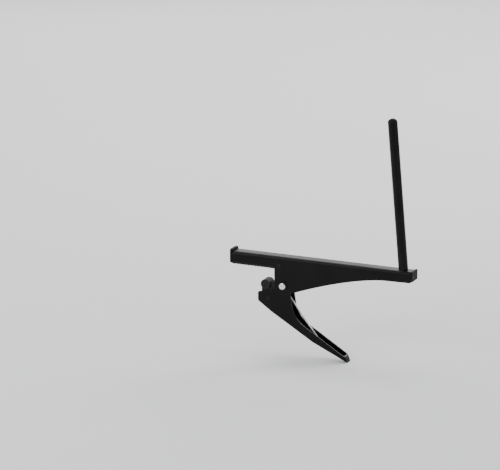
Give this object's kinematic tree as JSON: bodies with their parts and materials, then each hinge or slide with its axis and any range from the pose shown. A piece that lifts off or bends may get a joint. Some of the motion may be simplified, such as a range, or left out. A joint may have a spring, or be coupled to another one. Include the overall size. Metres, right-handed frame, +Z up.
{
  "type": "table tennis net clamp",
  "caption": "Clamp for a table tennis net: a steel arm that grips the board's edge with a spring lever and rubber jaws, and carries the net's post.",
  "frame": {"origin": "the corner of the jaw, where the playing surface meets the side edge of the board, on the arm's middle plane", "axes": "+X outward along the arm, away from the table; +Y along the edge of the board; +Z up"},
  "size_m": [0.2061, 0.0202, 0.2656],
  "materials": {
    "painted_steel": "black powder coat, semi-gloss with a fine texture",
    "post_steel": "smooth black enamel",
    "moulded_black": "black moulded plastic, lightly grained",
    "rubber": "black rubber, matt with worn contact faces",
    "blackened_steel": "black oxide",
    "bright_steel": "bright rivet, cold formed",
    "spring_steel": "bright drawn wire",
    "zinc_steel": "bright zinc plating",
    "nylon": "natural nylon"
  },
  "bodies": {
    "clamp": {"arm": "painted_steel", "inner_end_cap": "moulded_black", "upper_jaw_pad": "rubber", "throat_block": "moulded_black", "block_pin": "blackened_steel", "pivot_rivet": "bright_steel", "pivot_washers": "blackened_steel", "pivot_shims": "nylon", "pivot_sleeve": "nylon", "return_spring": "spring_steel", "post": "post_steel", "post_insert": "zinc_steel", "post_socket": "moulded_black", "post_screw": "zinc_steel", "post_washer": "zinc_steel", "post_cap": "moulded_black"},
    "lever": {"lever": "painted_steel", "foot_carrier": "moulded_black", "foot_pin": "blackened_steel", "jaw_foot": "rubber"}
  },
  "joints": [
    {"name": "lever_hinge", "type": "hinge", "parent": "clamp", "child": "lever", "pos_m": [0.0099, 0, -0.0181], "axis": [0, -1, 0], "range_deg": [0, 26], "stiffness_Nm_per_rad": 1.3, "springref_deg": -34.38, "deforming": ["return_spring"]}
  ]
}
